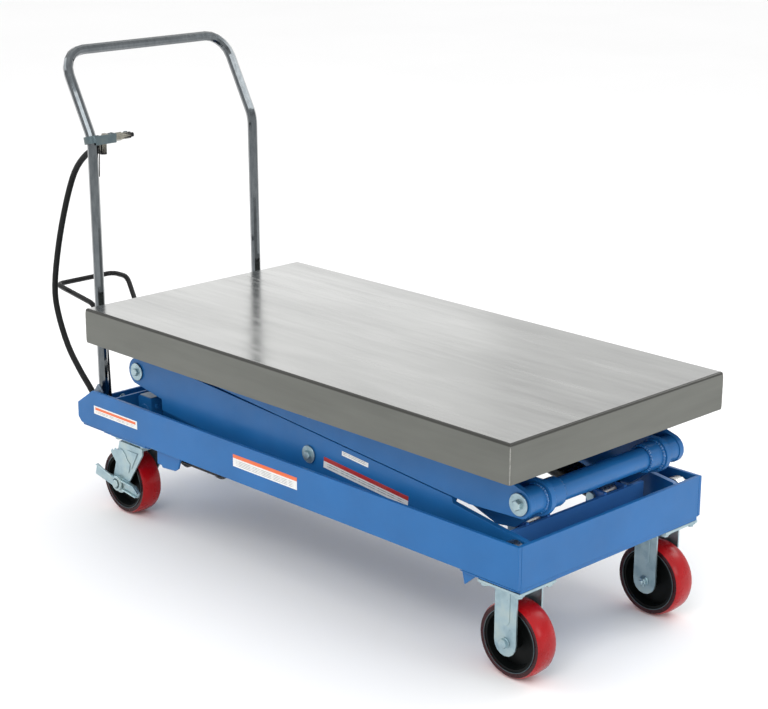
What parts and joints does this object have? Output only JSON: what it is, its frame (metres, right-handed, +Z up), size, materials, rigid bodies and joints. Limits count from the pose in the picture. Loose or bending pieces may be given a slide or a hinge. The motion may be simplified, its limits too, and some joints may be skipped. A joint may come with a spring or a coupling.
{
  "type": "scissor lift table",
  "caption": "Mobile double scissor lift table with a stainless deck, push handle, foot pedal, air line and caster wheels.",
  "frame": {"origin": "floor level under the middle of the whole cart's footprint", "axes": "+Z up, long side along X with the push handle at -X, +Y to the side away from the air line"},
  "size_m": [1.5139, 0.617, 1.029],
  "materials": {
    "blue_paint": "gloss",
    "stainless": "brushed",
    "chrome": "polished",
    "zinc": "satin zinc plate",
    "steel": "turned",
    "red_urethane": "semi-gloss",
    "black_iron": "painted",
    "black_coating": "satin",
    "hose_rubber": "matte",
    "brass": "satin"
  },
  "bodies": {
    "base": {"base_side_near": "blue_paint", "base_side_far": "blue_paint", "left_tray": "blue_paint", "right_end": "blue_paint", "base_cross_member": "blue_paint", "cylinder_anchor": "blue_paint", "roller_track_near": "blue_paint", "roller_track_far": "blue_paint", "pivot_block_near": "blue_paint", "pivot_block_far": "blue_paint", "base_pivot_shaft": "steel", "pump_unit": "black_coating", "push_handle": "chrome", "air_clamp": "zinc", "air_inlet": "brass", "air_hose": "hose_rubber", "rigid_caster_near": "zinc", "rigid_caster_far": "zinc", "rigid_wheel_near_axle": "steel", "rigid_wheel_far_axle": "steel", "swivel_plate_near": "zinc", "swivel_plate_far": "zinc"},
    "lower_inner_legs": {"lower_inner_leg_near": "blue_paint", "lower_inner_leg_far": "blue_paint", "lower_centre_shaft": "steel", "right_knuckle_shaft": "blue_paint"},
    "lower_outer_legs": {"lower_outer_leg_near": "blue_paint", "lower_outer_leg_far": "blue_paint", "left_knuckle_shaft": "blue_paint"},
    "upper_outer_legs": {"upper_outer_leg_near": "blue_paint", "upper_outer_leg_far": "blue_paint", "upper_centre_shaft": "steel"},
    "upper_inner_legs": {"upper_inner_leg_near": "blue_paint", "upper_inner_leg_far": "blue_paint"},
    "platform": {"deck_cover": "stainless", "deck_frame": "blue_paint", "deck_pivot_shaft": "steel"},
    "pedal": {"foot_pedal": "black_coating"},
    "lower_roller_near": {"lower_roller_near": "steel"},
    "upper_roller_near": {"upper_roller_near": "steel"},
    "barrel_near": {"cylinder_barrel_near": "black_coating"},
    "rod_near": {"cylinder_rod_near": "chrome"},
    "fork_near": {"swivel_fork_near": "zinc", "swivel_wheel_near_axle": "steel"},
    "brake_near": {"brake_lever_near": "zinc"},
    "swivel_wheel_near": {"swivel_wheel_near_hub": "black_iron", "swivel_wheel_near_tread": "red_urethane"},
    "rigid_wheel_near": {"rigid_wheel_near_hub": "black_iron", "rigid_wheel_near_tread": "red_urethane"},
    "lower_roller_far": {"lower_roller_far": "steel"},
    "upper_roller_far": {"upper_roller_far": "steel"},
    "barrel_far": {"cylinder_barrel_far": "black_coating"},
    "rod_far": {"cylinder_rod_far": "chrome"},
    "fork_far": {"swivel_fork_far": "zinc", "swivel_wheel_far_axle": "steel"},
    "brake_far": {"brake_lever_far": "zinc"},
    "swivel_wheel_far": {"swivel_wheel_far_hub": "black_iron", "swivel_wheel_far_tread": "red_urethane"},
    "rigid_wheel_far": {"rigid_wheel_far_hub": "black_iron", "rigid_wheel_far_tread": "red_urethane"}
  },
  "joints": [
    {"name": "lift", "type": "hinge", "parent": "base", "child": "lower_inner_legs", "pos_m": [-0.42, 0, 0.249], "axis": [0, -1, 0], "range_deg": [0, 25]},
    {"name": "lower_cross", "type": "hinge", "parent": "lower_inner_legs", "child": "lower_outer_legs", "pos_m": [0.137, 0, 0.2963], "axis": [0, -1, 0], "range_deg": [-50, 0]},
    {"name": "knuckle", "type": "hinge", "parent": "lower_inner_legs", "child": "upper_outer_legs", "pos_m": [0.694, 0, 0.3435], "axis": [0, -1, 0], "range_deg": [-50, 0]},
    {"name": "upper_cross", "type": "hinge", "parent": "upper_outer_legs", "child": "upper_inner_legs", "pos_m": [0.137, 0, 0.3908], "axis": [0, -1, 0], "range_deg": [0, 50]},
    {"name": "deck_level", "type": "hinge", "parent": "upper_outer_legs", "child": "platform", "pos_m": [-0.42, 0, 0.438], "axis": [0, -1, 0], "range_deg": [0, 25]},
    {"name": "lower_roller_near_turn", "type": "hinge", "parent": "lower_outer_legs", "child": "lower_roller_near", "pos_m": [0.694, -0.24, 0.249], "axis": [0, 1, 0], "continuous": true},
    {"name": "upper_roller_near_turn", "type": "hinge", "parent": "upper_inner_legs", "child": "upper_roller_near", "pos_m": [0.694, -0.188, 0.438], "axis": [0, 1, 0], "continuous": true},
    {"name": "cylinder_near_tilt", "type": "hinge", "parent": "base", "child": "barrel_near", "pos_m": [0.616, -0.113, 0.258], "axis": [0, 1, 0], "range_deg": [0, 18.95]},
    {"name": "cylinder_near_stroke", "type": "slide", "parent": "barrel_near", "child": "rod_near", "axis": [-0.9749, 0, 0.2225], "range_m": [0, 0.1876]},
    {"name": "swivel_near", "type": "hinge", "parent": "base", "child": "fork_near", "pos_m": [-0.427, -0.204, 0.19], "axis": [0, 0, 1], "continuous": true},
    {"name": "swivel_wheel_near_roll", "type": "hinge", "parent": "fork_near", "child": "swivel_wheel_near", "pos_m": [-0.477, -0.204, 0.075], "axis": [0, 1, 0], "continuous": true},
    {"name": "rigid_wheel_near_roll", "type": "hinge", "parent": "base", "child": "rigid_wheel_near", "pos_m": [0.682, -0.204, 0.075], "axis": [0, 1, 0], "continuous": true},
    {"name": "brake_near_press", "type": "hinge", "parent": "fork_near", "child": "brake_near", "pos_m": [-0.477, -0.242, 0.075], "axis": [0, -1, 0], "range_deg": [0, 16]},
    {"name": "lower_roller_far_turn", "type": "hinge", "parent": "lower_outer_legs", "child": "lower_roller_far", "pos_m": [0.694, 0.24, 0.249], "axis": [0, 1, 0], "continuous": true},
    {"name": "upper_roller_far_turn", "type": "hinge", "parent": "upper_inner_legs", "child": "upper_roller_far", "pos_m": [0.694, 0.188, 0.438], "axis": [0, 1, 0], "continuous": true},
    {"name": "cylinder_far_tilt", "type": "hinge", "parent": "base", "child": "barrel_far", "pos_m": [0.616, 0.113, 0.258], "axis": [0, 1, 0], "range_deg": [0, 18.95]},
    {"name": "cylinder_far_stroke", "type": "slide", "parent": "barrel_far", "child": "rod_far", "axis": [-0.9749, 0, 0.2225], "range_m": [0, 0.1876]},
    {"name": "swivel_far", "type": "hinge", "parent": "base", "child": "fork_far", "pos_m": [-0.427, 0.204, 0.19], "axis": [0, 0, 1], "continuous": true},
    {"name": "swivel_wheel_far_roll", "type": "hinge", "parent": "fork_far", "child": "swivel_wheel_far", "pos_m": [-0.477, 0.204, 0.075], "axis": [0, 1, 0], "continuous": true},
    {"name": "rigid_wheel_far_roll", "type": "hinge", "parent": "base", "child": "rigid_wheel_far", "pos_m": [0.682, 0.204, 0.075], "axis": [0, 1, 0], "continuous": true},
    {"name": "brake_far_press", "type": "hinge", "parent": "fork_far", "child": "brake_far", "pos_m": [-0.477, 0.242, 0.075], "axis": [0, -1, 0], "range_deg": [0, 16]},
    {"name": "pedal_press", "type": "hinge", "parent": "base", "child": "pedal", "pos_m": [-0.563, -0.116, 0.222], "axis": [0, -1, 0], "range_deg": [0, 15], "stiffness_Nm_per_rad": 60, "springref_deg": -6.88}
  ],
  "couplings": [
    {"joint": "lower_cross", "follows": "lift", "ratio": -2},
    {"joint": "knuckle", "follows": "lift", "ratio": -2},
    {"joint": "upper_cross", "follows": "lift", "ratio": 2},
    {"joint": "deck_level", "follows": "lift", "ratio": 1},
    {"joint": "cylinder_near_tilt", "follows": "lift", "ratio": 0.75799},
    {"joint": "cylinder_near_stroke", "follows": "lift", "m_per_rad": 0.42994},
    {"joint": "cylinder_far_tilt", "follows": "lift", "ratio": 0.75799},
    {"joint": "cylinder_far_stroke", "follows": "lift", "m_per_rad": 0.42994}
  ]
}
